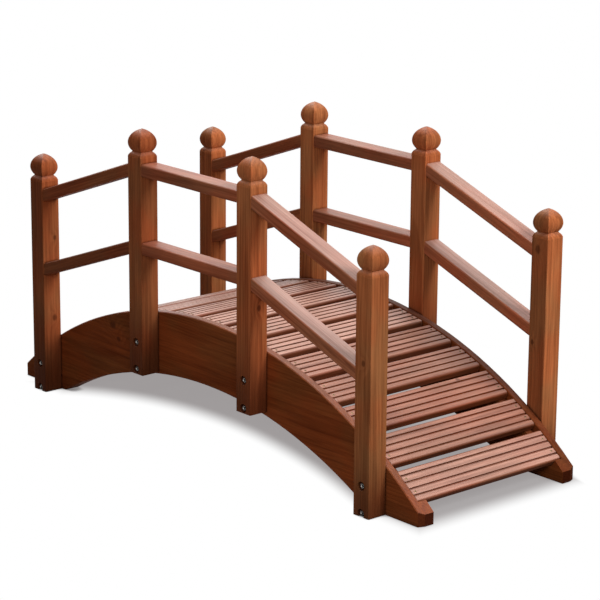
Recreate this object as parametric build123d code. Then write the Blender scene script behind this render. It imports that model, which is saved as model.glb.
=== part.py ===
from build123d import *
import math
import os

# Arched garden bridge of stained softwood, in millimetres.
# X runs along the walk with the near end at +X, Y runs across it with the left side at -Y, Z is up.
# The origin is on the ground under the middle of the span.

# Overall sizes
bridge_length = 1500.0
bridge_width = 600.0
inner_post_top = 748.0
end_post_top = 620.0

# Side beams: one arched plank on each side, rebated along the inside of its top edge
beam_thickness = 42.0
beam_crown = 309.0
beam_tip = 28.5
arch_rise = 150.0
toe_length = 177.0
lip_thickness = 20.0
tip_bare = 35.5
beam_edge_bevel = 2.0
tip_cut_length = 7.0
tip_cut_width = 16.0

# Treads: ribbed boards that lie in the rebates, across the walk
tread_width = 88.0
tread_thickness = 20.0
tread_gap = 17.5
tread_recess = 2.5
tread_end_play = 0.5
tread_nose_play = 2.0
tread_nose_radius = 7.0
tread_under_radius = 3.0
groove_count = 4
groove_pitch_share = 0.208
groove_mouth = 5.0
groove_floor = 3.4
groove_depth = 3.5

# Posts, bolted to the outside faces of the beams
post_size = 51.0
post_edge_radius = 2.0
end_post_inset = 136.5
inner_post_foot = 140.0
posts_per_side = 4

# Finial cut on the head of each post: bevel, rounded shoulder, neck and square ball
bevel_rise = 3.5
bevel_set_in = 1.2
shoulder_rise = 8.0
shoulder_set_in = 5.8
neck_rise = 2.0
neck_set_in = 1.4
ball_set_in = 0.7
ball_belly = 21.0
ball_crown = 34.0

# Rails, butted between the posts
rail_width = 48.0
rail_height = 30.0
rail_edge_radius = 5.0
level_rail_drop = 81.0
sloping_rail_drop = 85.0
rail_spacing = 193.0

# Seats sunk in the posts for the bolt heads, as heights above the foot of the post
bolt_seat_radius = 11.0
bolt_seat_depth = 8.0
inner_bolt_heights = (12.0, 80.0)
end_bolt_heights = (8.0, 72.0)

# How far every cutting shape runs past the wood that it cuts
overrun = 10.0

# Arch of the top edge: a circle through both tips and the crown
top_rise = beam_crown - beam_tip
top_radius = (top_rise**2 + (bridge_length / 2) ** 2) / (2 * top_rise)
top_centre = beam_crown - top_radius

# Deck: evenly spaced along the top arch between the bare tips
tip_angle = math.asin(bridge_length / 2 / top_radius)
deck_run = 2 * (top_radius * tip_angle - tip_bare)
tread_count = round((deck_run + tread_gap) / (tread_width + tread_gap))
tread_step = (deck_run - tread_width) / (tread_count - 1) / top_radius
deck_radius = top_radius - tread_recess
seat_radius = deck_radius - tread_thickness
tread_angles = [tread_step * ((tread_count - 1) / 2 - index) for index in range(tread_count)]

# Places across the bridge, as distances from the middle
post_middle = bridge_width / 2 - post_size / 2
beam_outside = bridge_width / 2 - post_size
beam_inside = beam_outside - beam_thickness
rebate_wall = beam_outside - lip_thickness

# Places along the bridge: the posts stand at equal distances
end_post_place = bridge_length / 2 - end_post_inset
post_step = 2 * end_post_place / (posts_per_side - 1)
post_places = [end_post_place - post_step * index for index in range(posts_per_side)]
bay_clear = post_step - post_size


def on_arch(radius, angle):
    """Point in the side view at an angle from the crown, at a radius from the arch's centre."""
    return (radius * math.sin(angle), top_centre + radius * math.cos(angle))


def along_walk(outline, inner, outer, side):
    """Side-view outline made solid between two distances from the middle, on the left or the right."""
    slab = extrude(Plane.XZ * outline, amount=outer - inner)
    return Pos(0, side * (inner + outer) / 2 + (outer - inner) / 2, 0) * slab


def beam_outline():
    """Side view of a beam: arched top, upright tips, flat toes and the arch that clears the ground."""
    half = bridge_length / 2
    spring = half - toe_length
    top = ThreePointArc((-half, beam_tip), (0, beam_crown), (half, beam_tip))
    near = Polyline((half, beam_tip), (half, 0), (spring, 0))
    under = ThreePointArc((spring, 0), (0, arch_rise), (-spring, 0))
    far = Polyline((-spring, 0), (-half, 0), (-half, beam_tip))
    return make_face([top, near, under, far])


def rebate_outline():
    """Side view of the rebate: a flat seat under every tread, closed above the top of the beam."""
    end_angle = tread_angles[0]
    end_reach = tread_width / 2 + tread_nose_play
    corner_radius = seat_radius / math.cos(tread_step / 2)
    corners = [on_arch(corner_radius, angle - tread_step / 2) for angle in tread_angles[:-1]]
    wall_top = top_radius + overrun

    def wall_point(radius, angle, reach):
        x, z = on_arch(radius, angle)
        return (x + reach * math.cos(angle), z - reach * math.sin(angle))

    near_foot = wall_point(seat_radius, end_angle, end_reach)
    near_head = wall_point(wall_top, end_angle, end_reach)
    far_foot = wall_point(seat_radius, -end_angle, -end_reach)
    far_head = wall_point(wall_top, -end_angle, -end_reach)
    seats = Polyline(near_head, near_foot, *corners, far_foot, far_head)
    lid = ThreePointArc(far_head, on_arch(wall_top, 0), near_head)
    return make_face([seats, lid])


def beam_plan(side):
    """Plan view of a beam: straight, with the outside corners of its tips cut back."""
    half = bridge_length / 2
    tip = [(half, beam_inside), (half, beam_outside - tip_cut_width), (half - tip_cut_length, beam_outside)]
    near = [(x, side * y) for x, y in tip]
    far = [(-x, y) for x, y in reversed(near)]
    return make_face(Polyline(*near, *far, close=True))


def side_beam(side):
    """Arched plank with cut tips, bevelled arrises and the rebate that carries the ends of the treads."""
    plank = along_walk(beam_outline(), beam_inside, beam_outside, side)
    plank = plank & extrude(beam_plan(side), amount=beam_crown, dir=(0, 0, 1))
    rebate = along_walk(rebate_outline(), beam_inside - overrun, rebate_wall, side)
    beam = plank - rebate
    arrises = beam.edges().filter_by(GeomType.CIRCLE).filter_by(lambda edge: edge.length > bridge_length / 2)
    return chamfer(arrises, beam_edge_bevel)


def tread(angle):
    """Ribbed board with rounded long edges, laid on its seat at an angle from the crown."""
    board = Pos(0, -tread_thickness / 2) * Rectangle(tread_width, tread_thickness)
    corners = board.vertices().sort_by(Axis.Y)
    board = fillet(corners[-2:], tread_nose_radius)
    corners = [corner for corner in board.vertices() if corner.Y < -tread_thickness + tread_under_radius]
    board = fillet(corners, tread_under_radius)
    half_mouth = groove_mouth / 2
    half_floor = groove_floor / 2
    groove = Polygon(
        (-half_mouth, 0), (-half_floor, -groove_depth), (half_floor, -groove_depth), (half_mouth, 0), align=None
    )
    groove_pitch = groove_pitch_share * tread_width
    for place in range(groove_count):
        board -= Pos(groove_pitch * (place - (groove_count - 1) / 2), 0) * groove
    plank = extrude(Plane.XZ * board, amount=rebate_wall - tread_end_play, both=True)
    return Pos(0, 0, top_centre) * Rot(0, math.degrees(angle), 0) * Pos(0, 0, deck_radius) * plank


def post_outline(foot, top):
    """Silhouette of a post from its foot to the tip of its finial, the same from the front and the side."""
    half = post_size / 2
    shoulder = half - bevel_set_in
    ledge = shoulder - shoulder_set_in
    neck = ledge - neck_set_in
    ball = half - ball_set_in
    equator = top - ball_crown
    neck_height = equator - ball_belly
    ledge_height = neck_height - neck_rise
    shoulder_height = ledge_height - shoulder_rise
    shaft_top = shoulder_height - bevel_rise
    shaft = Polyline((0, foot), (half, foot), (half, shaft_top), (shoulder, shoulder_height))
    lean = (-bevel_set_in, bevel_rise)
    rounding = TangentArc((shoulder, shoulder_height), (ledge, ledge_height), tangent=lean)
    throat = Line((ledge, ledge_height), (neck, neck_height))
    belly = TangentArc((ball, equator), (neck, neck_height), tangent=(0, -1))
    crown = TangentArc((ball, equator), (0, top), tangent=(0, 1))
    axis = Line((0, top), (0, foot))
    right_half = make_face([shaft, rounding, throat, belly, crown, axis])
    return right_half + mirror(right_half, about=Plane.YZ)


def post(place, side, foot, top, bolt_heights):
    """Square post with its finial, and the sunk seats for its bolts on the outside face."""
    outline = post_outline(foot, top)
    front = extrude(Plane.XZ * outline, amount=post_size, both=True)
    flank = extrude(Plane.YZ * outline, amount=post_size, both=True)
    bar = Pos(0, 0, foot) * extrude(RectangleRounded(post_size, post_size, post_edge_radius), amount=top - foot)
    body = bar & front & flank
    seat = extrude(Plane.XZ * Circle(bolt_seat_radius), amount=bolt_seat_depth, both=True)
    for height in bolt_heights:
        body -= Pos(0, side * post_size / 2, foot + height) * seat
    return Pos(place, side * post_middle, 0) * body


def rail(start, end, start_top, end_top, side):
    """Rounded bar between two post faces, cut upright at both ends, with its top at the given heights."""
    run = end - start
    slope = math.atan2(start_top - end_top, run)
    section = RectangleRounded(rail_width, rail_height, rail_edge_radius)
    bar = extrude(Plane.YZ * section, amount=run, both=True)
    middle = (start_top + end_top) / 2 - rail_height / 2 / math.cos(slope)
    bar = Pos((start + end) / 2, 0, middle) * Rot(0, math.degrees(slope), 0) * bar
    bay = Pos((start + end) / 2, 0, middle) * Box(run, bridge_width, inner_post_top)
    return Pos(0, side * post_middle, 0) * (bar & bay)


sides = {"left": -1, "right": 1}
post_names = ("near_end_post", "near_inner_post", "far_inner_post", "far_end_post")
bay_names = ("near", "middle", "far")
bay_drops = (sloping_rail_drop, level_rail_drop, sloping_rail_drop)
post_tops = (end_post_top, inner_post_top, inner_post_top, end_post_top)
post_feet = (0, inner_post_foot, inner_post_foot, 0)
post_bolts = (end_bolt_heights, inner_bolt_heights, inner_bolt_heights, end_bolt_heights)

pieces = {}
for side_name, side in sides.items():
    pieces[f"{side_name}_side_beam"] = side_beam(side)
    for name, place, foot, top, bolts in zip(post_names, post_places, post_feet, post_tops, post_bolts):
        pieces[f"{side_name}_{name}"] = post(place, side, foot, top, bolts)
    for index, (bay, bay_drop) in enumerate(zip(bay_names, bay_drops)):
        end = post_places[index] - post_size / 2
        start = end - bay_clear
        for level, drop in (("top", bay_drop), ("lower", bay_drop + rail_spacing)):
            start_top = post_tops[index + 1] - drop
            end_top = post_tops[index] - drop
            pieces[f"{side_name}_{bay}_{level}_rail"] = rail(start, end, start_top, end_top, side)
for index, angle in enumerate(tread_angles):
    pieces[f"tread_{index + 1:02d}"] = tread(angle)

os.makedirs("parts", exist_ok=True)
for name, piece in pieces.items():
    export_step(piece, f"parts/{name}.step")
    print(name, round(piece.volume), "mm3")
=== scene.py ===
# %% [markdown]
# # A garden moon bridge in stained softwood
# The solids of the bridge come packed: two arched side beams, fifteen ribbed treads, eight posts with
# square ball finials and twelve rails. Their shapes and places are settled, so this lesson only dresses
# them: it sets up the view and the light, grows a wood finish for every piece and adds the small steel
# fasteners. The loaded nodes sit at the origin with their places in their meshes, so one frame, in
# metres, serves all.

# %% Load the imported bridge
import math
import random

import bmesh
import bpy
from mathutils import Matrix, Quaternion, Vector


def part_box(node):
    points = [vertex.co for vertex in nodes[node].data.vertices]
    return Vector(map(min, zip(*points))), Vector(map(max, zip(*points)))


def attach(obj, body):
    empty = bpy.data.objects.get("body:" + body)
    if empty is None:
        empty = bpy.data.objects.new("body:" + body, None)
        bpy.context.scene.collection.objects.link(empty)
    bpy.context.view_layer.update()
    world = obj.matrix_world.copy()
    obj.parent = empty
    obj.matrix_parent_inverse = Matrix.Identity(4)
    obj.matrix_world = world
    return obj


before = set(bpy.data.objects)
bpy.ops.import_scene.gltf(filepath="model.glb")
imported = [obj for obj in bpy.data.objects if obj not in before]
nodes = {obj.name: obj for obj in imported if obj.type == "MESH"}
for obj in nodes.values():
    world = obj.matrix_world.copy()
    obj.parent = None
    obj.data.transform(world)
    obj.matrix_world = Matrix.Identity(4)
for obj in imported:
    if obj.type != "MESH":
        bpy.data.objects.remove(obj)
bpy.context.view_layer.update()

# %% [markdown]
# ## The view
# The picture was taken from a little above, off the near left corner, with a long lens that keeps the
# posts almost parallel. A camera could be turned by hand until it looks right. Here it is placed by its
# bearing, its height over the horizon and its distance from a point on the bridge, so every number has a
# meaning.

# %% Camera
view_bearing = math.radians(48.86)
view_height = math.radians(15.322)
view_roll = math.radians(0.449)
view_distance = 5.741
view_point = Vector((0.2712, -0.1850, 0.4078))
lens_mm = 149.15
sensor_mm = 36.0

back = Vector((
    math.sin(view_bearing) * math.cos(view_height),
    -math.cos(view_bearing) * math.cos(view_height),
    math.sin(view_height),
))
camera_data = bpy.data.cameras.new("camera")
camera_data.lens = lens_mm
camera_data.sensor_width = sensor_mm
camera = bpy.data.objects.new("camera", camera_data)
camera.location = view_point + back * view_distance
camera.rotation_mode = "QUATERNION"
camera.rotation_quaternion = back.to_track_quat("Z", "Y") @ Quaternion((0, 0, 1), view_roll)
bpy.context.scene.collection.objects.link(camera)
bpy.context.scene.camera = camera
print("camera at", [round(v, 3) for v in camera.location])

# %% [markdown]
# ## Adding shader nodes with few words
# A node tree built in code soon drowns in lines that make a node, set an option and draw a link. These
# helpers do all three at once: a value given for an input is written on its socket, and a socket given
# for an input is linked to it. The sums that follow then read almost like sums.

# %% Helpers for node trees
# Numbers of the colour sockets of a Mix node
mix_share = 0
mix_first = 6
mix_second = 7
mix_result = 2
falling = (1.0, 0.0)
openness_samples = 8


def add(tree, kind, inputs=None, **options):
    """Adds a node, sets its options, and fills or links its inputs by name or number."""
    node = tree.nodes.new(kind)
    for option, value in options.items():
        setattr(node, option, value)
    for place, value in (inputs or {}).items():
        if isinstance(value, bpy.types.NodeSocket):
            tree.links.new(value, node.inputs[place])
        else:
            node.inputs[place].default_value = value
    return node


def sums(tree, operation, *values, clamp=False):
    """Result of one operation on plain numbers."""
    inputs = dict(enumerate(values))
    return add(tree, "ShaderNodeMath", inputs, operation=operation, use_clamp=clamp).outputs[0]


def vectors(tree, operation, *values, output="Vector"):
    """Result of one operation on vectors."""
    inputs = dict(enumerate(values))
    return add(tree, "ShaderNodeVectorMath", inputs, operation=operation).outputs[output]


def ramp(tree, value, low, high, first=0.0, last=1.0):
    """Smooth step from one value to another while the input goes from low to high."""
    inputs = {"Value": value, "From Min": low, "From Max": high, "To Min": first, "To Max": last}
    return add(tree, "ShaderNodeMapRange", inputs, interpolation_type="SMOOTHSTEP").outputs["Result"]


def blend(tree, share, first, second):
    """Colour that goes from the first to the second by a share."""
    inputs = {mix_share: share, mix_first: first, mix_second: second}
    return add(tree, "ShaderNodeMix", inputs, data_type="RGBA").outputs[mix_result]


def noise(tree, place, waves, detail=2.0, output="Fac"):
    """Noise between 0 and 1, with a number of waves for each unit along each axis."""
    inputs = {"Vector": vectors(tree, "MULTIPLY", place, waves), "Scale": 1.0, "Detail": detail}
    return add(tree, "ShaderNodeTexNoise", inputs, noise_dimensions="3D").outputs[output]


def openness(tree, reach, inside=False):
    """Share of open room within reach of a surface, or of wood where it looks inside the piece."""
    options = {"samples": openness_samples, "inside": inside}
    return add(tree, "ShaderNodeAmbientOcclusion", {"Distance": reach}, **options).outputs["AO"]


print("helpers ready")

# %% [markdown]
# ## The shade on the floor
# Under the bridge lies one soft grey shade, which follows the arch on the left and runs out on the right.
# It could be left to the lamps, but those are set for the wood. So the floor itself works out where light
# that slants in from the front left gets through: under the arch of the left beam, over the right one and
# past both ends. Each beam's edge is taken as a parabola, and its shade is blurred at the rim.

# %% Shade on the floor
# Height and half length of the gap under a beam and of the outline over it
under_arch = (0.150, 0.573)
over_arch = (0.309, 0.787)
light_slant = 0.8
shade_near = 0.75
shade_far = -0.66
shade_blur = 0.045


def past_beam(tree, place, beam_face, arch):
    """How far slanting light passes a beam, over or under an arch, at a place on the floor."""
    height, half = arch
    depth = sums(tree, "SUBTRACT", place["Y"], beam_face)
    crossing = sums(tree, "ABSOLUTE", sums(tree, "MULTIPLY_ADD", depth, light_slant, place["X"]))
    reach = sums(tree, "POWER", sums(tree, "DIVIDE", crossing, half), 2.0)
    rise = sums(tree, "MAXIMUM", sums(tree, "MULTIPLY_ADD", reach, -height, height), 0.0)
    return sums(tree, "SUBTRACT", rise, depth)


def open_floor(tree):
    """Share that is 1 where slanting light reaches the floor and 0 in the shade of the bridge."""
    position = add(tree, "ShaderNodeNewGeometry").outputs["Position"]
    place = add(tree, "ShaderNodeSeparateXYZ", {0: position}).outputs
    under = past_beam(tree, place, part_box("left_side_beam")[0].y, under_arch)
    over = past_beam(tree, place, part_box("right_side_beam")[1].y, over_arch)
    ways = (
        ramp(tree, over, shade_blur, 0.0),
        ramp(tree, place["X"], shade_near - shade_blur, shade_near + shade_blur),
        ramp(tree, place["X"], shade_far + shade_blur, shade_far - shade_blur),
    )
    lit = ramp(tree, under, -shade_blur, shade_blur)
    for way in ways:
        lit = sums(tree, "MAXIMUM", lit, way)
    return lit


print("shade from", shade_far, "to", shade_near, "m along the walk")

# %% [markdown]
# ## The floor
# The bridge stands on plain pale paper, which is white to the eye and grey in the shade. A floor that
# bright would also throw light up at the wood, so only what the camera or a reflection sees is white: to
# bounced light the floor is dark. In the shade it is matt paper with a faint glow, which still takes the
# shadows of the lamps, and round the feet the white darkens into a narrow painted contact shadow.

# %% Floor
floor_half = 9.0
floor_grey = (0.08, 0.08, 0.08, 1.0)
paper_grey = (0.1, 0.1, 0.1, 1.0)
paper_tint = (1.0, 0.94, 0.94, 1.0)
paper_glow = 0.335
plain_white = (1.0, 1.0, 1.0, 1.0)
contact_shade_reach = 0.020
contact_shade_range = (0.2, 0.7)
contact_shade_levels = (0.05, 1.0)


def seen_directly(tree):
    """Share that is 1 for what the camera, a reflection or a clear surface shows."""
    path = add(tree, "ShaderNodeLightPath").outputs
    seen = sums(tree, "ADD", path["Is Camera Ray"], path["Is Glossy Ray"], clamp=True)
    return sums(tree, "ADD", seen, path["Is Transmission Ray"], clamp=True)


def either(tree, share, first, second):
    """Shader that goes from the first to the second by a share."""
    inputs = {0: share, 1: first.outputs[0], 2: second.outputs[0]}
    return add(tree, "ShaderNodeMixShader", inputs)


def floor_finish():
    """Matt paper in the shade and plain white with painted contact shadows beyond it to the eye, dark grey to
    bounced light.
    """
    material = bpy.data.materials.new("floor_paper")
    material.use_nodes = True
    tree = material.node_tree
    tree.nodes.clear()
    matt = add(tree, "ShaderNodeBsdfDiffuse", {"Color": paper_grey})
    glow = add(tree, "ShaderNodeEmission", {"Color": paper_tint, "Strength": paper_glow})
    paper = add(tree, "ShaderNodeAddShader", {0: matt.outputs[0], 1: glow.outputs[0]})
    # Painted contact shadow: the white is darker where little open room lies round the feet.
    white_with_contact_shade = ramp(tree, openness(tree, contact_shade_reach), *contact_shade_range, *contact_shade_levels)
    white = add(tree, "ShaderNodeEmission", {"Color": plain_white, "Strength": white_with_contact_shade})
    shown = either(tree, open_floor(tree), paper, white)
    plain = add(tree, "ShaderNodeBsdfDiffuse", {"Color": floor_grey})
    surface = either(tree, seen_directly(tree), plain, shown)
    add(tree, "ShaderNodeOutputMaterial", {"Surface": surface.outputs[0]})
    return material


def studio_floor():
    """Flat floor under the bridge."""
    mesh = bpy.data.meshes.new("floor")
    corners = [(x * floor_half, y * floor_half, 0) for x, y in ((-1, -1), (1, -1), (1, 1), (-1, 1))]
    mesh.from_pydata(corners, [], [(0, 1, 2, 3)])
    mesh.materials.append(floor_finish())
    floor = bpy.data.objects.new("floor", mesh)
    bpy.context.scene.collection.objects.link(floor)


studio_floor()
print("floor", 2 * floor_half, "m wide")

# %% [markdown]
# ## Sky and lamps
# The light is soft, as under a bright grey sky. One small lamp would draw hard shadows, so five wide
# panels share the work. The one overhead makes the treads and the tops of the rails the brightest faces,
# the key beyond the near end reaches the near faces of the posts, and a weak fill lifts the left side,
# which stays deep brown. A low panel behind the bridge gives the tops their pale shine, and one beyond
# the far end lights what is seen from behind. The sky is white to the eye and dim to the wood, as the
# floor is.

# %% Sky and lamps
sky_grey = (0.08, 0.08, 0.083, 1.0)
# Place, point that it faces, width and height, and watts of each panel
panels = {
    "overhead": ((-0.3, 0.75, 3.2), (0.0, 0.1, 0.3), (4.2, 2.0), 47.0),
    "near_end": ((5.6, 1.4, 4.6), (0.0, 0.0, 0.35), (3.0, 3.0), 360.0),
    "left_fill": ((2.0, -2.1, 1.4), (0.3, -0.25, 0.3), (1.4, 1.4), 30.0),
    "far_sky": ((-3.0, 2.6, 1.3), (0.0, 0.0, 0.4), (3.6, 1.6), 9.0),
    "far_end": ((-5.4, 0.6, 3.6), (-0.4, 0.0, 0.3), (3.0, 3.0), 110.0),
}


def studio_sky():
    """Even sky: white to the eye, dim to the bridge."""
    world = bpy.data.worlds.new("studio")
    world.use_nodes = True
    tree = world.node_tree
    tree.nodes.clear()
    dim = add(tree, "ShaderNodeBackground", {"Color": sky_grey})
    white = add(tree, "ShaderNodeBackground", {"Color": plain_white})
    surface = either(tree, seen_directly(tree), dim, white)
    add(tree, "ShaderNodeOutputWorld", {"Surface": surface.outputs[0]})
    bpy.context.scene.world = world


def soft_panel(name, place, aim, size, watts):
    """Rectangular lamp that faces a point."""
    lamp = bpy.data.lights.new(name, "AREA")
    lamp.shape = "RECTANGLE"
    lamp.size, lamp.size_y = size
    lamp.energy = watts
    panel = bpy.data.objects.new(name, lamp)
    panel.location = place
    panel.rotation_mode = "QUATERNION"
    panel.rotation_quaternion = (Vector(place) - Vector(aim)).to_track_quat("Z", "Y")
    panel.visible_camera = False
    bpy.context.scene.collection.objects.link(panel)


studio_sky()
for panel_name, settings in panels.items():
    soft_panel(panel_name, *settings)
bpy.context.scene.view_settings.view_transform = "Standard"

# %% [markdown]
# ## How the grain lies in each piece
# A sawn piece has its grain along its length, so every piece needs axes of its own: one along the grain,
# one across it and one out of its best face. An image wrapped round the piece would break at every
# corner. A solid pattern, read at a place inside the piece, runs through corners and shows end grain by
# itself. The axes are read off the boxes of the nodes, and the arch's centre off the places of two
# treads.

# %% Axes of the grain
millimetres = 1000.0


def middle_of(name):
    """Middle of a node's box."""
    low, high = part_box(name)
    return (low + high) / 2


def grain_axes(centre, along, out):
    """Turn and shift from the frame, in metres, to a piece's own axes, in millimetres: across, out, along."""
    along = Vector(along).normalized()
    across = Vector(out).cross(along).normalized()
    out = along.cross(across)
    turn = Matrix((across, out, along))
    return turn, turn @ Vector(centre) * -millimetres


crown = middle_of("tread_08")
nearest = middle_of("tread_01")
arch_centre = (crown.z**2 - nearest.z**2 - nearest.x**2) / (2 * (crown.z - nearest.z))
post_low, post_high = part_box("left_near_end_post")
inner_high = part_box("left_near_inner_post")[1]
rail_slope = math.atan2(inner_high.z - post_high.z, post_low.x - inner_high.x)


def axes_of(name):
    """Axes of the grain of any piece of the bridge."""
    centre = middle_of(name)
    if "tread" in name:
        return grain_axes(centre, (0, 1, 0), (centre.x, 0, centre.z - arch_centre))
    if "post" in name:
        return grain_axes(centre, (0, 0, 1), (0, -1, 0))
    slope = 0.0
    if "near" in name:
        slope = rail_slope
    if "far" in name:
        slope = -rail_slope
    return grain_axes(centre, (math.cos(slope), 0, -math.sin(slope)), (0, -1, 0))


print("arch centre at height", round(arch_centre, 3), "rail slope", round(math.degrees(rail_slope), 1))

# %% [markdown]
# ## Growth rings
# A log is a stack of cones: pale early wood that turns into a darker line of late wood, once a year.
# Sawing it cuts those rings into straight stripes or into pointed arches. Stripes could be drawn on each
# face, but they wouldn't meet at the corners. So the pattern measures how far a place is from the heart
# of the log, lets that wander a little, and turns the distance into rings.

# %% Growth rings
# Waves for each millimetre across the grain, out of the face and along the grain
heart_waves = (0.006, 0.006, 0.0016)
heart_detail = 1.0
heart_wander = (46.0, 46.0, 0.0)
noise_middle = (0.5, 0.5, 0.5)
across_grain = (1.0, 1.0, 0.0)
ripple_waves = (0.05, 0.05, 0.008)
ripple_size = 3.0
late_rise = (0.1, 0.8)
late_fall = (0.85, 1.0)


def late_wood(tree, given):
    """Share of late wood at a place, from its distance to the wandering heart of the log."""
    place = given["Place"]
    drift = noise(tree, place, heart_waves, heart_detail, "Color")
    drift = vectors(tree, "SUBTRACT", drift, noise_middle)
    drift = vectors(tree, "MULTIPLY", drift, heart_wander)
    offset = vectors(tree, "SUBTRACT", vectors(tree, "ADD", place, drift), given["Heart"])
    offset = vectors(tree, "MULTIPLY", offset, across_grain)
    radius = vectors(tree, "LENGTH", offset, output="Value")
    ripple = sums(tree, "MULTIPLY", noise(tree, place, ripple_waves), ripple_size)
    radius = sums(tree, "ADD", sums(tree, "ADD", radius, ripple), given["Bulge"])
    turn = sums(tree, "FRACT", sums(tree, "DIVIDE", radius, given["Ring width"]))
    return sums(tree, "MULTIPLY", ramp(tree, turn, *late_rise), ramp(tree, turn, *late_fall, *falling))


print("the heart wanders", heart_wander[0] / 2, "mm to each side")

# %% [markdown]
# ## Stain
# A thick red-brown stain hides most of the rings and leaves soft streaks along the grain. One flat colour
# with a picture of grain over it would look printed. Here rings and streaks choose between a pale and a
# dark tone of the piece, clouds let the rings come and go, and the hue drifts from redder to greener
# along the piece.

# %% Stain
streak_waves = (0.085, 0.085, 0.0028)
streak_detail = 3.0
streak_range = (0.36, 0.72)
streak_shares = (0.0, 0.5)
cloud_waves = (0.014, 0.014, 0.004)
cloud_range = (0.3, 0.7)
ring_shares = (0.08, 0.36)
hue_waves = (0.012, 0.012, 0.007)
hue_range = (0.35, 0.65)
redder = (1.06, 0.94, 0.90, 1.0)
greener = (0.93, 1.05, 1.08, 1.0)


def stain(tree, given, late, streak, cloud):
    """Stain over rings and streaks, with a hue that drifts along the piece."""
    rings = sums(tree, "MULTIPLY", late, ramp(tree, cloud, *cloud_range, *ring_shares))
    share = sums(tree, "ADD", rings, ramp(tree, streak, *streak_range, *streak_shares), clamp=True)
    colour = blend(tree, share, given["Pale"], given["Dark"])
    hue = ramp(tree, noise(tree, given["Place"], hue_waves), *hue_range)
    return vectors(tree, "MULTIPLY", colour, blend(tree, hue, redder, greener))


print("streaks about", round(1 / streak_waves[2]), "mm long and", round(1 / streak_waves[0]), "mm wide")

# %% [markdown]
# ## Weather, painted sheen and painted shade
# Stain sinks deepest into end grain, and the wood turns darker towards the foot of each piece. Where
# the sky falls on the wood it fades, and a painted sheen lightens those tops further, so the tops of the
# treads are palest, while the grooves keep their stain. Painted shade darkens the open sides that don't
# face up, and one side of some pieces is darker, partly from deeper stain and partly as painted shade.
# Each of these could be a mask painted by hand. Here the way a surface faces, its height over the foot of
# the piece and the open room round it say the same, and serve every piece. Knots come after the fading,
# because they show through it.

# %% Weather, painted sheen and painted shade
heartwood = (0.04, 0.008, 0.003, 1.0)
end_grain_range = (0.7, 1.0)
top_range = (0.3, 0.95)
side_shade_open_range = (0.6, 0.9)
sky_range = (0.8, 0.99)
sky_streak_range = (0.4, 0.7)
sky_streak_shares = (1.1, 0.65)
groove_range = (0.5, 0.9)


def towards(tree, facing, direction):
    """How far a surface faces a direction."""
    return vectors(tree, "DOT_PRODUCT", facing, direction, output="Value")


def darkened(tree, colour, share, strength):
    """Colour drawn towards heartwood by a share at a strength."""
    return blend(tree, sums(tree, "MULTIPLY", share, strength), colour, heartwood)


def darker_ends_sides_and_feet(tree, given, colour, surface):
    """Colour that is darker in end grain, on a side darkened by stain and painted shade, and towards its
    foot.
    """
    ends = sums(tree, "ABSOLUTE", towards(tree, surface["Normal"], given["Along"]))
    colour = darkened(tree, colour, ramp(tree, ends, *end_grain_range), given["Ends"])
    # Darker side: partly deeper stain, partly painted shade.
    stain_and_shade = towards(tree, surface["Normal"], given["Stain and shade side"])
    colour = blend(tree, sums(tree, "MAXIMUM", stain_and_shade, 0.0), colour, heartwood)
    height = add(tree, "ShaderNodeSeparateXYZ", {0: surface["Position"]}).outputs["Z"]
    height = sums(tree, "SUBTRACT", height, given["Foot"])
    # Darker towards the foot of the piece.
    foot_darkening = ramp(tree, height, 0.0, given["Foot darkening reach"], *falling)
    return darkened(tree, colour, foot_darkening, given["Foot darkening"])


def faded_and_shaded(tree, given, colour, upward, open_air, streak):
    """Colour with painted shade on open sides that don't face up, bleached and lit by painted sheen under the
    sky, with the knots showing.
    """
    # Painted shade on open faces that turn away from the sky.
    side_shade = ramp(tree, upward, *top_range, *falling)
    side_shade = sums(tree, "MULTIPLY", side_shade, ramp(tree, open_air, *side_shade_open_range))
    colour = darkened(tree, colour, side_shade, given["Side shade"])
    # Fading under the sky, which also stands for painted sheen on the tops.
    fade_and_sheen = ramp(tree, upward, *sky_range)
    fade_and_sheen = sums(tree, "MULTIPLY", fade_and_sheen, ramp(tree, streak, *sky_streak_range, *sky_streak_shares))
    fade_and_sheen = sums(tree, "MULTIPLY", fade_and_sheen, ramp(tree, open_air, *groove_range))
    fade_and_sheen = sums(tree, "MULTIPLY", fade_and_sheen, given["Fade"], clamp=True)
    colour = blend(tree, fade_and_sheen, colour, given["Faded and sheen colour"])
    return blend(tree, given["Knot"], colour, heartwood)


print("weather ready")

# %% [markdown]
# ## Wear, dirt and painted shade
# Close up, stained softwood shows fine light and dark fibres. Hands and feet rub its arrises paler, and
# that paler line also paints a highlight along them, while the ribs of the treads get dark edges as
# painted shade. Dirt and painted shade gather in corners and joints. Edges could be marked by hand in the
# mesh. Here ambient occlusion finds them: looked at from inside the wood an arris has little round it,
# and looked at from outside a corner has little open room.

# %% Wear, dirt and painted shade
fibre_range = (0.25, 0.75)
fibre_levels = (0.9, 1.1)
cloud_levels = (1.1, 0.92)
strand_waves = (0.3, 0.3, 0.008)
strand_detail = 3.0
strand_range = (0.3, 0.7)
strand_levels = (0.87, 1.14)
arris_reach = 0.003
arris_range = (0.5, 0.95)
dirt_and_shade_range = (0.3, 0.95)


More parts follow.
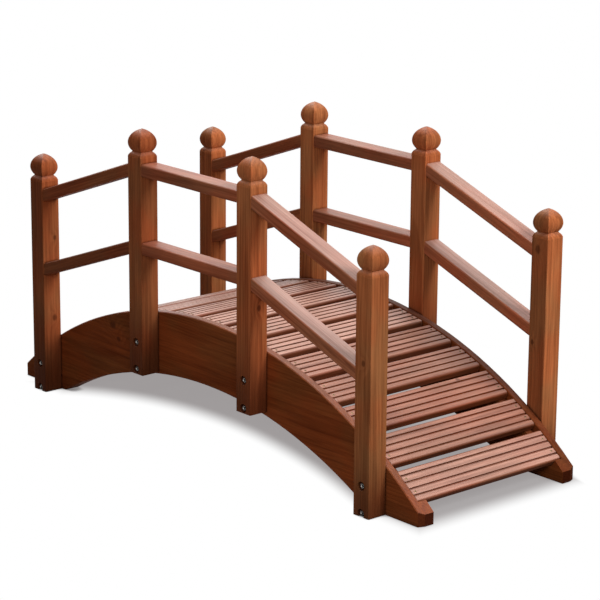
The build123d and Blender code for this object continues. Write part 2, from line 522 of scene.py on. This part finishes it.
def worn(tree, given, colour, fibre, cloud, open_air):
    """Colour with fibres, arrises paler (wear and painted highlight) or darker (painted shade) by their
    level, and dirt and painted shade in the corners.
    """
    strand = noise(tree, given["Place"], strand_waves, strand_detail)
    arris = openness(tree, arris_reach, inside=True)
    level = ramp(tree, fibre, *fibre_range, *fibre_levels)
    level = sums(tree, "MULTIPLY", level, ramp(tree, cloud, *cloud_range, *cloud_levels))
    level = sums(tree, "MULTIPLY", level, ramp(tree, strand, *strand_range, *strand_levels))
    # Arris level: above 1 paints a paler line of wear and highlight, below 1 paints shade.
    level = sums(tree, "MULTIPLY", level, ramp(tree, arris, *arris_range, given["Arris wear and light"], 1.0))
    colour = vectors(tree, "MULTIPLY", colour, level)
    # Dirt and painted shade where little open room lies round the surface.
    return darkened(tree, colour, ramp(tree, open_air, *dirt_and_shade_range, *falling), given["Dirt and shade"])


print("arrises are", arris_reach * millimetres, "mm wide")

# %% [markdown]
# ## Stained softwood as one group
# All pieces share these steps and differ only in their settings. Copying the nodes into 37 materials
# would work but is hard to change, so they go into one node group, and each piece's settings are its
# inputs. The worn tops shine at a low angle, while the sides stay dull, and late wood and fibres stand up
# a little as relief.

# %% Softwood group
wood_inputs = {
    "Place": "NodeSocketVector",
    "Heart": "NodeSocketVector",
    "Ring width": "NodeSocketFloat",
    "Bulge": "NodeSocketFloat",
    "Knot": "NodeSocketFloat",
    "Along": "NodeSocketVector",
    "Sky face": "NodeSocketVector",
    "Stain and shade side": "NodeSocketVector",
    "Pale": "NodeSocketColor",
    "Dark": "NodeSocketColor",
    "Faded and sheen colour": "NodeSocketColor",
    "Ends": "NodeSocketFloat",
    "Fade": "NodeSocketFloat",
    "Gloss": "NodeSocketFloat",
    "Side shade": "NodeSocketFloat",
    "Foot": "NodeSocketFloat",
    "Foot darkening": "NodeSocketFloat",
    "Foot darkening reach": "NodeSocketFloat",
    "Arris wear and light": "NodeSocketFloat",
    "Dirt and shade": "NodeSocketFloat",
}
wood_outputs = {
    "Color": "NodeSocketColor",
    "Roughness": "NodeSocketFloat",
    "Shine": "NodeSocketFloat",
    "Relief": "NodeSocketFloat",
}
fibre_waves = (0.9, 0.9, 0.025)
fibre_detail = 4.0
crevice_reach = 0.008
fibre_rough_range = (0.2, 0.8)
fibre_roughness = (-0.07, 0.07)
face_roughness = (0.6, 0.45)
face_shine = (0.03, 0.5)
late_relief = 0.4
fibre_relief = 0.6


def new_group(name, inputs, outputs):
    """Empty node group with named inputs and outputs."""
    tree = bpy.data.node_groups.new(name, "ShaderNodeTree")
    for socket, kind in inputs.items():
        tree.interface.new_socket(socket, in_out="INPUT", socket_type=kind)
    for socket, kind in outputs.items():
        tree.interface.new_socket(socket, in_out="OUTPUT", socket_type=kind)
    return tree


def softwood_group():
    """Colour, roughness, shine and relief of stained softwood at a place in its own axes."""
    tree = new_group("stained_softwood", wood_inputs, wood_outputs)
    given = add(tree, "NodeGroupInput").outputs
    surface = add(tree, "ShaderNodeNewGeometry").outputs
    upward = towards(tree, surface["Normal"], given["Sky face"])
    open_air = openness(tree, crevice_reach)
    late = late_wood(tree, given)
    fibre = noise(tree, given["Place"], fibre_waves, fibre_detail)
    streak = noise(tree, given["Place"], streak_waves, streak_detail)
    cloud = noise(tree, given["Place"], cloud_waves)

    colour = stain(tree, given, late, streak, cloud)
    colour = darker_ends_sides_and_feet(tree, given, colour, surface)
    colour = faded_and_shaded(tree, given, colour, upward, open_air, streak)
    colour = worn(tree, given, colour, fibre, cloud, open_air)

    roughness = ramp(tree, fibre, *fibre_rough_range, *fibre_roughness)
    roughness = sums(tree, "ADD", roughness, ramp(tree, upward, *top_range, *face_roughness))
    shine = sums(tree, "MULTIPLY", ramp(tree, upward, *top_range, *face_shine), given["Gloss"])
    relief = sums(tree, "MULTIPLY", fibre, fibre_relief)
    relief = sums(tree, "ADD", sums(tree, "MULTIPLY", late, late_relief), relief)
    outputs = {"Color": colour, "Roughness": roughness, "Shine": shine, "Relief": relief}
    add(tree, "NodeGroupOutput", outputs)
    return tree


softwood = softwood_group()
print("stained softwood:", len(softwood.nodes), "nodes")

# %% [markdown]
# ## Knots
# A knot is a branch that the tree grew round: a dark spot with the rings bulging past it. A spot could be
# painted on the face, but a branch runs through the wood, so here it is a short rod along an axis, and
# the distance from that axis gives both the dark core and the push on the rings.

# %% Knot group
knot_inputs = {
    "Place": "NodeSocketVector",
    "Centre": "NodeSocketVector",
    "Axis": "NodeSocketVector",
    "Size": "NodeSocketFloat",
}
knot_outputs = {"Core": "NodeSocketFloat", "Bulge": "NodeSocketFloat"}
knot_stretch = (1.0, 1.0, 0.75)
rim_waves = (0.2, 0.2, 0.2)
rim_size = 0.5
core_range = (0.7, 1.35)
core_shares = (0.6, 0.0)
falloff_base = 2.718
falloff_rate = -0.22
bulge_share = 1.6


def knot_group():
    """Dark core and bulge of one branch at a place in the wood."""
    tree = new_group("knot", knot_inputs, knot_outputs)
    given = add(tree, "NodeGroupInput").outputs
    away = vectors(tree, "SUBTRACT", given["Place"], given["Centre"])
    away = vectors(tree, "SUBTRACT", away, vectors(tree, "PROJECT", away, given["Axis"]))
    away = vectors(tree, "MULTIPLY", away, knot_stretch)
    reach = sums(tree, "DIVIDE", vectors(tree, "LENGTH", away, output="Value"), given["Size"])
    rim = sums(tree, "MULTIPLY", noise(tree, given["Place"], rim_waves), rim_size)
    core = ramp(tree, sums(tree, "ADD", reach, rim), *core_range, *core_shares)
    falloff = sums(tree, "MULTIPLY", sums(tree, "POWER", reach, 2.0), falloff_rate)
    falloff = sums(tree, "POWER", falloff_base, falloff)
    bulge = sums(tree, "MULTIPLY", falloff, sums(tree, "MULTIPLY", given["Size"], bulge_share))
    add(tree, "NodeGroupOutput", {"Core": core, "Bulge": bulge})
    return tree


knot = knot_group()
print("knot:", len(knot.nodes), "nodes")

# %% [markdown]
# ## Where the knots are
# The larger knots sit where the real bridge shows them. Knots could be scattered by chance, but a known
# piece is recognised by them. Each has a place on a face of its piece, the way its branch ran and its
# radius in millimetres.

# %% Places of the knots
to_near = (1, 0, 0)
to_left = (0, -1, 0)
knot_places = {
    "left_far_end_post": (
        ((-0.588, -0.264, 0.404), to_near, 6.0),
        ((-0.588, -0.268, 0.194), to_near, 8.0),
    ),
    "left_near_inner_post": (((0.230, -0.2745, 0.395), to_near, 7.0),),
    "left_near_end_post": (((0.615, -0.300, 0.356), to_left, 7.0),),
    "left_side_beam": (
        ((-0.366, -0.249, 0.220), to_left, 11.0),
        ((-0.342, -0.249, 0.188), to_left, 8.0),
    ),
    "right_near_end_post": (
        ((0.600, 0.249, 0.300), to_left, 6.0),
        ((0.608, 0.249, 0.525), to_left, 10.0),
    ),
    "tread_03": (((0.476, 0.130, 0.203), (0.445, 0, 0.896), 6.0),),
    "tread_07": (((0.131, -0.123, 0.299), (0.092, 0, 0.996), 6.0),),
}
print("knots:", sum(len(places) for places in knot_places.values()))

# %% [markdown]
# ## Tones
# No two pieces took the stain alike: posts run from red-brown to honey, rails and treads are rosy, and
# the beams took more stain than the rest. A table for each piece would be long, so a setting is looked up
# by words in the piece's name, and the longest word that fits wins: "tread" holds for all treads until
# "tread_03" says more.

# %% Tones
red_brown = Vector((0.42, 0.110, 0.038))
honey = Vector((0.50, 0.175, 0.062))
rose = Vector((0.44, 0.135, 0.062))
deep_brown = Vector((0.25, 0.0615, 0.0165))
honey_shares = {
    "left": 0.3,
    "right": 0.8,
    "left_near_end": 0.9,
    "left_near_inner": 0.4,
    "right_near_inner": 0.4,
}
rosy_shares = {
    "rail": 1.0,
    "tread": 1.0,
    "left_far": 0.2,
    "right_far": 0.3,
    "tread_02": 0.2,
    "tread_03": 0.0,
    "tread_04": 0.3,
}
strength_shares = {
    "": 1.0,
    "left_near_end_post": 0.74,
    "left_far_inner_post": 0.80,
    "left_far_end_post": 0.8,
    "right_far_end_post": 1.05,
    "left_far_top_rail": 0.72,
    "left_far_lower_rail": 0.72,
    "right_middle_top_rail": 0.85,
    "right_far_top_rail": 0.85,
    "right_side_beam": 0.9,
    "tread": 0.62,
}
kinds = ("post", "beam", "tread", "rail")
tone_spread = (0.94, 1.06)
dice = random.Random(41)


def share_of(shares, name):
    """Setting of a piece: that of the longest word of the table found in its name."""
    return shares[max((word for word in shares if word in name), key=len)]


def kind_of(name):
    """Post, beam, tread or rail."""
    return next(kind for kind in kinds if kind in name)


def tone_of(name):
    """Colour of the pale wood of a piece under its stain."""
    kind = kind_of(name)
    if kind == "post":
        tone = red_brown.lerp(honey, share_of(honey_shares, name))
    elif kind == "beam":
        tone = deep_brown
    else:
        tone = red_brown.lerp(rose, share_of(rosy_shares, name)) * dice.uniform(*tone_spread)
    return tone * share_of(strength_shares, name)


print("tones for", len(nodes), "pieces")

# %% [markdown]
# ## How each piece has weathered and is shaded
# The same look-up gives what years outdoors did to a piece and the painted light and shade it carries:
# which of its sides is darker, partly from deeper stain and partly as painted shade, how far up from its
# foot it darkens, how much its top is bleached and lit by painted sheen, how much painted shade its open
# sides take, how pale or dark its arrises are, and how much dirt and painted shade its corners hold. One
# setting for all would be simpler, but weather works unevenly, so these shares were tuned piece by piece
# until the colours of the render came near those of the photo.

# %% Weather and painted shade of the pieces
# Faded colours of rails and treads, which also stand for painted sheen on their tops.
bleached_and_sheen_rail = Vector((0.52, 0.36, 0.31))
bleached_and_sheen_board = Vector((0.64, 0.355, 0.272))
# Directions of the sides that are darker: partly deeper stain, partly painted shade.
stain_and_shade_sides = {
    "": (0.0, 0.0, 0.0),
    "left_near_end_post": (0.08, 0.0, 0.0),
    "left_near_inner_post": (0.06, 0.0, 0.0),
    "left_far_end_post": (0.0, -0.3, 0.0),
    "left_far_inner_post": (0.12, 0.0, 0.0),
    "left_far_lower_rail": (0.0, -0.2, 0.0),
    "left_middle": (0.0, -0.15, 0.0),
    "right_middle": (0.0, -0.15, 0.0),
    "right_middle_top_rail": (0.0, -0.3, 0.0),
    "right_far_top_rail": (0.0, -0.22, 0.0),
    "right_far_lower_rail": (0.0, -0.28, 0.0),
    "right_side_beam": (0.0, 0.0, 0.4),
    "right_near_end_post": (0.0, -0.4, 0.0),
    "right_far_end_post": (0.0, -0.32, 0.0),
}
# How much each piece's top fades, with painted sheen in the same share.
fade_and_sheen_shares = {
    "post": 0.1,
    "beam": 0.1,
    "rail": 0.12,
    "near_top_rail": 0.46,
    "near_lower_rail": 0.62,
    "tread": 0.72,
    "tread_01": 0.52,
    "tread_02": 0.36,
    "tread_03": 0.3,
    "tread_04": 0.38,
    "tread_05": 0.5,
    "tread_06": 1.0,
    "tread_07": 0.85,
    "tread_08": 1.0,
    "tread_10": 0.85,
}
# How much each piece darkens towards its foot, and over what height.
foot_darkening_shares = {
    "": 0.0,
    "post": 0.68,
    "inner_post": 0.74,
    "left_far_end_post": 0.72,
    "beam": 0.3,
}
foot_darkening_reaches = {
    "": 0.06,
    "post": 0.17,
    "inner_post": 0.25,
    "left_far_end_post": 0.27,
}
gloss_shares = {"": 1.0, "left_side_beam": 0.7, "right_side_beam": 0.15}
# Painted shade on the open sides of the treads.
side_shade_shares = {"": 0.0, "tread": 0.6}
# Arrises: above 1 paler as wear and painted highlight, below 1, on the treads, darker as painted shade.
arris_wear_and_light_levels = {"": 1.18, "tread": 0.55}
# Dirt and painted shade in corners and joints.
dirt_and_shade_shares = {"": 0.82, "tread": 0.42}
end_shares = {"post": 0.12, "beam": 0.95, "tread": 0.5, "rail": 0.4}
# Row of a piece's axes that faces the sky: 0 across, 1 out, 2 along
sky_rows = {"post": 2, "beam": 0, "tread": 1, "rail": 0}
print("bleached treads:", sum(1 for word in fade_and_sheen_shares if "tread_" in word))

# %% [markdown]
# ## One finish for each piece
# No two pieces come from the same log, so each gets its own heart and ring width. They could be typed in
# one by one, but a seeded dice draws them, so that every run gives the same bridge. The group's inputs
# take the settings of the piece, and its colour, roughness, shine and relief go to the piece's own
# shader.

# %% Finish every piece
dark_shares = (0.50, 0.40, 0.36)
relief_depth = 0.0003
start_reach = 900.0
heart_distances = (35.0, 95.0)
ring_widths = (5.0, 9.0)


def branches(tree, name, place, turn, shift):
    """Dark cores and bulges of all the knots in a piece."""
    core = bulge = 0.0
    for where, axis, size in knot_places.get(name, ()):
        centre = turn @ Vector(where) * millimetres + shift
        inputs = {"Place": place, "Centre": centre, "Axis": turn @ Vector(axis), "Size": size}
        branch = add(tree, "ShaderNodeGroup", inputs, node_tree=knot).outputs
        core = sums(tree, "MAXIMUM", branch["Core"], core)
        bulge = sums(tree, "ADD", branch["Bulge"], bulge)
    return core, bulge


def stained(name):
    """Material of one piece, with the grain along it."""
    material = bpy.data.materials.new(name + "_wood")
    material.use_nodes = True
    tree = material.node_tree
    kind = kind_of(name)
    turn, shift = axes_of(name)
    start = Vector([dice.uniform(-start_reach, start_reach) for _ in range(3)])
    shift = shift + start
    angle = dice.uniform(0, math.tau)
    heart = start + Vector((math.cos(angle), math.sin(angle), 0)) * dice.uniform(*heart_distances)
    tone = tone_of(name)
    dark_tone = [part * share for part, share in zip(tone, dark_shares)]
    faded_and_sheen_tone = bleached_and_sheen_board if kind == "tread" else bleached_and_sheen_rail

    mapping = {
        "Vector": add(tree, "ShaderNodeTexCoord").outputs["Object"],
        "Location": shift,
        "Rotation": turn.to_euler(),
        "Scale": (millimetres,) * 3,
    }
    place = add(tree, "ShaderNodeMapping", mapping).outputs[0]
    core, bulge = branches(tree, name, place, turn, shift)
    wood_settings = {
        "Place": place,
        "Heart": heart,
        "Ring width": dice.uniform(*ring_widths),
        "Bulge": bulge,
        "Knot": core,
        "Along": turn.row[2],
        "Sky face": turn.row[sky_rows[kind]],
        "Stain and shade side": share_of(stain_and_shade_sides, name),
        "Pale": (*tone, 1.0),
        "Dark": (*dark_tone, 1.0),
        "Faded and sheen colour": (*faded_and_sheen_tone, 1.0),
        "Ends": share_of(end_shares, name),
        "Fade": share_of(fade_and_sheen_shares, name),
        "Gloss": share_of(gloss_shares, name),
        "Side shade": share_of(side_shade_shares, name),
        "Foot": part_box(name)[0].z,
        "Foot darkening": share_of(foot_darkening_shares, name),
        "Foot darkening reach": share_of(foot_darkening_reaches, name),
        "Arris wear and light": share_of(arris_wear_and_light_levels, name),
        "Dirt and shade": share_of(dirt_and_shade_shares, name),
    }
    wood = add(tree, "ShaderNodeGroup", wood_settings, node_tree=softwood).outputs
    bump_settings = {"Height": wood["Relief"], "Strength": 1.0, "Distance": relief_depth}
    bump = add(tree, "ShaderNodeBump", bump_settings)
    shader = tree.nodes["Principled BSDF"]
    tree.links.new(wood["Color"], shader.inputs["Base Color"])
    tree.links.new(wood["Roughness"], shader.inputs["Roughness"])
    tree.links.new(wood["Shine"], shader.inputs["Specular IOR Level"])
    tree.links.new(bump.outputs[0], shader.inputs["Normal"])
    return material


for name in sorted(nodes):
    piece = nodes[name]
    piece.data.materials.clear()
    piece.data.materials.append(stained(name))
print("finished pieces:", len(nodes))

# %% [markdown]
# ## Zinc-plated steel
# Bolts and screws on such a bridge are cheap plated steel: grey zinc on the bolts, yellow zinc on the
# screws. A clean mirror finish would look new. Plating soon turns dull and cloudy, so the metal is rough,
# its colour and roughness drift together with one soft noise, and grime and painted shade darken the
# recesses.

# %% Steel finish
bright_zinc = (0.42, 0.41, 0.39, 1.0)
dull_zinc = (0.22, 0.21, 0.195, 1.0)
bright_yellow = (0.40, 0.27, 0.16, 1.0)
dull_yellow = (0.15, 0.085, 0.045, 1.0)
plating_waves = (420.0, 420.0, 420.0)
plating_detail = 3.0
plating_range = (0.3, 0.7)
plating_roughness = (0.6, 0.4)
# Grime and painted shade in the recesses.
grime_and_shade = (0.012, 0.009, 0.007, 1.0)
grime_and_shade_reach = 0.010
grime_and_shade_range = (0.78, 0.97)


def plated_steel(name, dull, bright):
    """Cloudy plating on steel, from dull to bright, with grime and painted shade where there is little open
    room.
    """
    material = bpy.data.materials.new(name)
    material.use_nodes = True
    tree = material.node_tree
    coordinates = add(tree, "ShaderNodeTexCoord").outputs["Object"]
    cloud = noise(tree, coordinates, plating_waves, plating_detail)
    plating = blend(tree, ramp(tree, cloud, *plating_range), dull, bright)
    # Grime and painted shade where there is little open room round the steel.
    grime_and_shade_share = ramp(tree, openness(tree, grime_and_shade_reach), *grime_and_shade_range, *falling)
    plating = blend(tree, grime_and_shade_share, plating, grime_and_shade)
    roughness = ramp(tree, cloud, *plating_range, *plating_roughness)
    shader = tree.nodes["Principled BSDF"]
    shader.inputs["Metallic"].default_value = 1.0
    tree.links.new(plating, shader.inputs["Base Color"])
    tree.links.new(roughness, shader.inputs["Roughness"])
    return material


grey_zinc = plated_steel("grey_zinc", dull_zinc, bright_zinc)
yellow_zinc = plated_steel("yellow_zinc", dull_yellow, bright_yellow)
print("finishes:", grey_zinc.name, yellow_zinc.name)

# %% [markdown]
# ## Turned heads
# Nuts, bolt ends and screw heads are all turned shapes. Ready-made cylinders would need cutting to get
# flats and recesses. A stack of rings about an axis does it at once: the radius of a ring may change
# round it, so six flats or four wings come out of the same function. A line cast at a piece finds the
# surface that a head sits on, so none floats or sinks.

# %% Turned heads
ring_points = 48
cross_waist = 0.62
cross_swing = 0.38
crease_angle = math.radians(30)


def hexagon(angle):
    """Radius of a hexagon at an angle, for flats at a distance of 1."""
    corner = math.pi / 3
    return 1.0 / math.cos((angle + corner / 2) % corner - corner / 2)


def cross(angle):
    """Radius of a rounded cross at an angle, for four wings that reach to 1."""
    return cross_waist + cross_swing * math.cos(4 * angle)


def circle(angle):
    """Radius of a circle."""
    return 1.0


def turned_head(mesh, place, axis, rings, spin):
    """Adds a closed head to a mesh: rings of (shape, radius, height) from its seat up, and a lid."""
    side = axis.orthogonal().normalized()
    other = axis.cross(side)
    loops = []
    for shape, radius, height in rings:
        loop = []
        for step in range(ring_points):
            angle = math.tau * step / ring_points
            reach = radius * shape(angle)
            sideways = side * math.cos(angle + spin) + other * math.sin(angle + spin)
            loop.append(mesh.verts.new(place + axis * height + sideways * reach))
        loops.append(loop)
    for lower, upper in zip(loops, loops[1:]):
        for step in range(ring_points):
            after = (step + 1) % ring_points
            mesh.faces.new((lower[step], lower[after], upper[after], upper[step]))
    mesh.faces.new(loops[-1])
    mesh.faces.new(list(reversed(loops[0])))


def seat_on(name, start, direction):
    """First place on a piece along a line, and the way the surface faces there."""
    _, place, facing, _ = nodes[name].ray_cast(start, direction)
    return place, facing


def add_piece(name, mesh, material):
    """Turns a built mesh into a piece that goes with the bridge."""
    data = bpy.data.meshes.new(name)
    mesh.to_mesh(data)
    mesh.free()
    data.shade_smooth()
    data.set_sharp_from_angle(angle=crease_angle)
    data.materials.append(material)
    piece = bpy.data.objects.new(name, data)
    bpy.context.scene.collection.objects.link(piece)
    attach(piece, "root")
    print(name, len(data.polygons), "faces")


print("heads with", ring_points, "points to a ring")

# %% [markdown]
# ## Bolts in the posts
# Two bolts hold each post to its beam. What shows is a flange nut on the end of the bolt, at the bottom
# of a seat sunk in the outside face of the post. One nut could be copied sixteen times, but then all
# would point the same way, so each is turned anew with a spin of its own, and all of them make one mesh.

# %% Bolts in the posts
flange_radius = 0.0074
flange_height = 0.0018
nut_flat = 0.0052
nut_height = 0.0046
nut_bevel = 0.0008
thread_radius = 0.0026
thread_height = 0.0068
thread_bevel = 0.0006
# Heights over the foot of a post, and how far out the lines that look for the seats start
bolt_heights = {"inner": (0.012, 0.080), "end": (0.008, 0.072)}
cast_from = 9.0
bolt_rings = (
    (circle, flange_radius, 0.0),
    (circle, flange_radius, flange_height / 2),
    (circle, flange_radius - flange_height / 2, flange_height),
    (hexagon, nut_flat, flange_height),
    (hexagon, nut_flat, nut_height - nut_bevel),
    (circle, nut_flat, nut_height),
    (circle, thread_radius, nut_height),
    (circle, thread_radius, thread_height - thread_bevel),
    (circle, thread_radius - thread_bevel, thread_height),
)


def post_bolts():
    """Flange nuts with bolt ends in the seats of all posts."""
    mesh = bmesh.new()
    for name in sorted(nodes):
        if kind_of(name) != "post":
            continue
        low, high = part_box(name)
        outward = math.copysign(1.0, low.y)
        for height in share_of(bolt_heights, name):
            start = Vector(((low.x + high.x) / 2, outward * cast_from, low.z + height))
            place, facing = seat_on(name, start, Vector((0.0, -outward, 0.0)))
            turned_head(mesh, place, facing, bolt_rings, dice.uniform(0, math.tau))
    add_piece("post_bolts", mesh, grey_zinc)


bpy.context.view_layer.update()
post_bolts()

# %% [markdown]
# ## Screws in the treads
# Two screws hold each end of a tread, driven through its second and fourth rib until the head is almost
# flush. They could be drawn as dark dots in the wood, but close up a head catches the light. So each is a
# thin turned head with a cross sunk into it, laid on its rib with the tread's own axes.

# %% Screws in the treads
screw_radius = 0.0030
screw_height = 0.0004
screw_wing = 0.0020
screw_floor = 0.00005
screw_inset = 0.0105
rib_place = 0.0183
screw_rings = (
    (circle, screw_radius, 0.0),
    (circle, screw_radius, screw_height / 2),
    (circle, screw_radius - screw_height, screw_height),
    (cross, screw_wing, screw_height),
    (cross, screw_wing / 2, screw_floor),
)


def tread_screws():
    """Screw heads on the second and fourth rib at both ends of every tread."""
    mesh = bmesh.new()
    for name in sorted(nodes):
        if kind_of(name) != "tread":
            continue
        low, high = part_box(name)
        across, out, along = (Vector(row) for row in axes_of(name)[0])
        reach = (high.y - low.y) / 2 - screw_inset
        for end in (-1, 1):
            for rib in (-1, 1):
                start = middle_of(name) + along * end * reach + across * rib * rib_place + out * reach
                place, facing = seat_on(name, start, -out)
                turned_head(mesh, place, facing, screw_rings, dice.uniform(0, math.tau))
    add_piece("tread_screws", mesh, yellow_zinc)


tread_screws()
